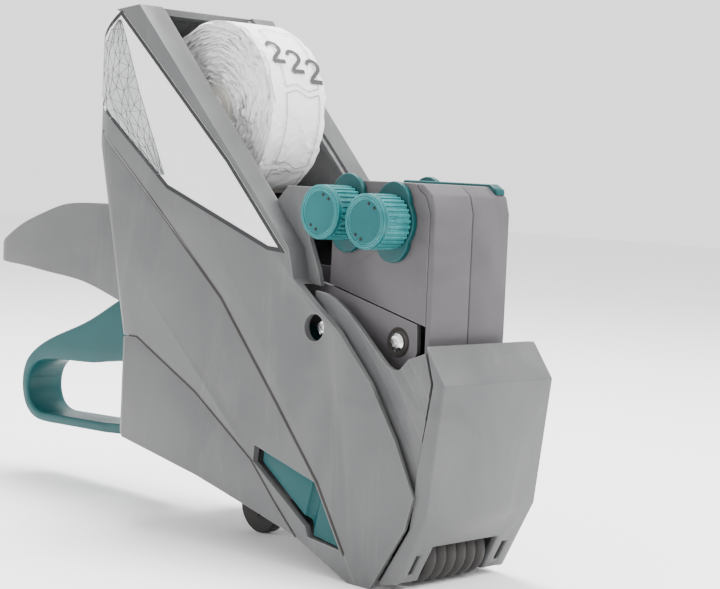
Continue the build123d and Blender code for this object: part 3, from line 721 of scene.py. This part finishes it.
def top_rail():
    """The teal rail along the far top edge of the head."""
    points = [(80.0, 132.2), (80.6, 133.9), (121.0, 133.9), (124.0, 132.2), (124.4, 130.4), (80.0, 130.4)]
    piece = slab("head_top_rail", points, 13.4, 17.9)
    modify(piece, "BEVEL", width=0.5 * MM, segments=3, limit_method="ANGLE")
    smooth(piece)
    fitted(piece, "print_head", "teal", TEAL)


print_head()
setting_knob("front", 109.0, 120.0)
setting_knob("rear", 87.5, 122.0)
top_rail()


# ---------------------------------------------------------------- screws
def star_screw(name, x, z, face, radius, side):
    """A button head with a six-lobed socket, facing outwards from y = face."""

    def lobed(column, row, r):
        if row in (3, 4):
            return r * (1.0 + 0.16 * cos(6 * 2 * pi * column / 48))
        return r

    tall = radius * 0.5
    profile = [(radius, 0.0), (radius * 0.93, tall * 0.55), (radius * 0.66, tall), (radius * 0.42, tall),
               (radius * 0.38, tall * 0.2), (0.0, tall * 0.15)]
    profile = [(r, side * (face + y)) for r, y in profile]
    profile.insert(0, (0.0, side * face))
    piece = turned(name, x, z, profile, 48, lambda c, row, r: lobed(c, row - 1, r))
    smooth(piece, 35)
    return piece


def dark_ring(name, x, z, inner, outer, face, depth, side):
    """A dark dished ring round a screw."""
    profile = [(inner, face), (inner + 0.4, face + depth * 0.4), (outer - 0.4, face + depth), (outer, face),
               (inner, face)]
    piece = turned(name, x, z, [(r, side * y) for r, y in profile], 48)
    smooth(piece, 35)
    return piece


HEAD_SCREW = (112.4, 80.6)
CASING_SCREW = (84.0, 83.0)


def screws():
    """The star screws of the head and the casing, and the dark rings round the head's."""
    head = [star_screw(f"head_screw_{word}", *HEAD_SCREW, 18.0, 3.3, side) for word, side in SIDES]
    fitted(join(head, "head_star_screws"), "print_head", "screw", CHROME, "head_screws")
    rings = [dark_ring(f"head_ring_{word}", *HEAD_SCREW, 3.4, 5.0, 18.0, 0.5, side) for word, side in SIDES]
    fitted(join(rings, "head_screw_rings"), "print_head", "dark_inner", DARK_INNER)
    casing = [star_screw(f"casing_screw_{word}", *CASING_SCREW, 24.6, 3.0, side) for word, side in SIDES]
    fitted(join(casing, "casing_star_screws"), "casing", "screw", CHROME, "casing_screws")


screws()


# ---------------------------------------------------------------- label roll
ROLL_X, ROLL_Z, ROLL_R, CORE_R, ROLL_HALF = 6.0, 156.0, 34.0, 9.05, 13.5


def crumple(angle, radius):
    """How far the windings stand out of the roll's near face at this place, in millimetres."""
    wobble = noise.noise(Vector((2.4 * cos(angle), 2.4 * sin(angle), radius * 0.07)))
    fine = noise.noise(Vector((9 * cos(angle), 9 * sin(angle), radius * 0.35)))
    winding = sin(2 * pi * (radius + 3.0 * wobble) / 2.3)
    sharp = (1.0 if winding > 0 else -1.0) * abs(winding) ** 0.45
    return 0.62 * sharp + 0.9 * wobble + 0.7 * fine - 0.3


def wound_roll():
    """The roll of labels: loose windings on both faces and a slightly uneven outside."""
    count, rings, width = 180, 60, 8
    last = 2 * rings + width

    def place(column, row):
        angle = 2 * pi * (column % count) / count
        if row <= rings:
            radius = CORE_R + (ROLL_R - CORE_R) * row / rings
            y = -ROLL_HALF + 1.3 + crumple(angle, radius) * min(1.0, row / 6)
        elif row < rings + width:
            radius = ROLL_R
            y = -ROLL_HALF + 1.3 + (2 * ROLL_HALF - 2.6) * (row - rings) / width
        else:
            radius = CORE_R + (ROLL_R - CORE_R) * (last - row) / rings
            y = ROLL_HALF - 1.3 - crumple(angle + 2.0, radius) * min(1.0, (last - row) / 6)
        y = max(-ROLL_HALF, min(ROLL_HALF, y))
        if radius > ROLL_R - 3.0:
            radius -= 0.5 + 0.45 * noise.noise(Vector((3 * cos(angle), 3 * sin(angle), y * 0.05)))
        return ROLL_X + radius * cos(angle), y, ROLL_Z + radius * sin(angle)

    piece = sheet("wound_label_roll", count, last, place)
    edit(piece)
    bpy.ops.mesh.remove_doubles(threshold=0.005 * MM)
    bpy.ops.mesh.select_all(action="DESELECT")
    bpy.ops.mesh.select_mode(type="EDGE")
    bpy.ops.mesh.select_non_manifold()
    bpy.ops.mesh.bridge_edge_loops()
    bpy.ops.mesh.select_all(action="SELECT")
    bpy.ops.mesh.normals_make_consistent(inside=False)
    done()
    smooth(piece, 60)
    fitted(piece, "labels", "label_paper", PAPER, "label_roll")


def on_roll(along, across, lift):
    """A point on the outside of the roll: degrees round it, millimetres across it, and a lift."""
    angle = radians(along)
    return (ROLL_X + (ROLL_R + lift) * cos(angle), across, ROLL_Z + (ROLL_R + lift) * sin(angle))


def printed_line(name, path, width, lift=0.12):
    """A printed line on the roll through (degrees, mm) points, as a thin raised ribbon."""
    scale = radians(1) * ROLL_R

    def place(column, row):
        before = path[max(column - 1, 0)]
        after = path[min(column + 1, len(path) - 1)]
        du, dv = (after[0] - before[0]) * scale, after[1] - before[1]
        size = hypot(du, dv)
        shift = width * (row - 0.5)
        u, v = path[column]
        return on_roll(u - dv / size * shift / scale, v + du / size * shift, lift)

    piece = sheet(name, len(path) - 1, 1, place)
    modify(piece, "SOLIDIFY", thickness=0.06 * MM, offset=0.0)
    outward(piece)
    return piece


def digit_two(name, along, across):
    """The figure 2: a hook, a slanting stroke and a foot. Up is towards the back of the roll."""
    tall, half = 15.5, 2.7
    path = []
    for i in range(11):
        turn = radians(165 - 19.5 * i)
        path.append((0.71 * tall + 0.29 * tall * sin(turn), half * cos(turn)))
    path += [(0.42 * tall, half * 0.35), (0.2 * tall, -half * 0.55), (0.0, -half)]
    stroke = printed_line(f"{name}_stroke", [(along + u, across + v) for u, v in path], 1.5)
    foot = [(along + 0.4, across - half), (along + 0.4, across), (along + 0.4, across + half + 0.3)]
    return [stroke, printed_line(f"{name}_foot", foot, 1.7)]


def label_edge(name, start, end, low, high):
    """The cut line of one label: straight sides along the strip and waved ends."""
    ends = []
    for along in (start, end):
        ends.append([(along + 2.6 * sin(2 * pi * t / 12) * sin(pi * t / 12), low + (high - low) * t / 12)
                     for t in range(13)])
    sides = [[(start + (end - start) * t / 14, across) for t in range(15)] for across in (low, high)]
    return [printed_line(f"{name}_{i}", path, 0.3, 0.08) for i, path in enumerate(ends + sides)]


def roll_print():
    """Figures printed on one label of the roll and the cut lines of the labels."""
    figures = []
    for i, across in enumerate((-6.6, 1.3, 9.2)):
        figures += digit_two(f"figure_{i}", 32.5 - 6.2 * i, across)
    fitted(join(figures, "roll_figures"), "labels", "label_paper", FIGURE_GREY)
    cuts = []
    for i, start in enumerate((12.0, 62.0, -38.0)):
        cuts += label_edge(f"label_{i}", start, start - 46.0, -6.5, 9.5)
    fitted(join(cuts, "label_cut_lines"), "labels", "label_paper", PRINT_PALE)


wound_roll()
roll_print()


# ---------------------------------------------------------------- stage, light and camera
def stage():
    """A pale, flat floor."""
    deselect()
    bpy.ops.mesh.primitive_plane_add(size=6.0)
    floor = named(bpy.context.object, "pale_floor")
    material, nodes, links, shader = new_material("pale_floor")
    grain = noise_node(nodes, links, nodes.new("ShaderNodeTexCoord").outputs["Object"], 3.0)
    shade = blend(nodes, links, grain, (0.90, 0.90, 0.90), (0.92, 0.92, 0.92))
    links.new(shade, shader.inputs["Base Color"])
    shader.inputs["Roughness"].default_value = 0.9
    shader.inputs["Specular IOR Level"].default_value = 0.1
    floor.data.materials.append(material)


def area_light(name, place, aim, size, power):
    """A square light at place that shines towards aim."""
    deselect()
    bpy.ops.object.light_add(type="AREA", location=place)
    light = bpy.context.object
    light.name = name
    light.data.size = size
    light.data.energy = power
    light.rotation_euler = (Vector(aim) - Vector(place)).to_track_quat("-Z", "Y").to_euler()


def lights():
    """An even white surround and three soft lights."""
    world = bpy.data.worlds.new("studio")
    bpy.context.scene.world = world
    world.use_nodes = True
    world.node_tree.nodes["Background"].inputs["Color"].default_value = (1.0, 1.0, 1.0, 1.0)
    world.node_tree.nodes["Background"].inputs["Strength"].default_value = 1.8
    area_light("key_light", (0.80, 0.25, 0.80), (0.05, 0.0, 0.10), 0.5, 15.0)
    area_light("fill_light", (-0.15, -1.0, 0.50), (0.0, 0.0, 0.08), 0.5, 3.0)
    area_light("top_light", (-0.20, 0.15, 1.0), (0.0, 0.0, 0.1), 0.4, 24.0)


def camera():
    """A long lens in front of the nose, on the side with the knobs."""
    forward = Vector((-0.70877, 0.70185, -0.07108)).normalized()
    right = forward.cross(Vector((-0.08499, 0.01507, 0.99627))).normalized()
    above = right.cross(forward)
    deselect()
    bpy.ops.object.camera_add(location=(0.49862, -0.41926, 0.13542))
    view = bpy.context.object
    turn = Matrix((right, above, -forward)).transposed()
    view.rotation_euler = turn.to_euler()
    view.data.lens = 85.0
    view.data.sensor_width = 36.0
    view.data.clip_start = 0.01
    bpy.context.scene.camera = view


stage()
lights()
camera()
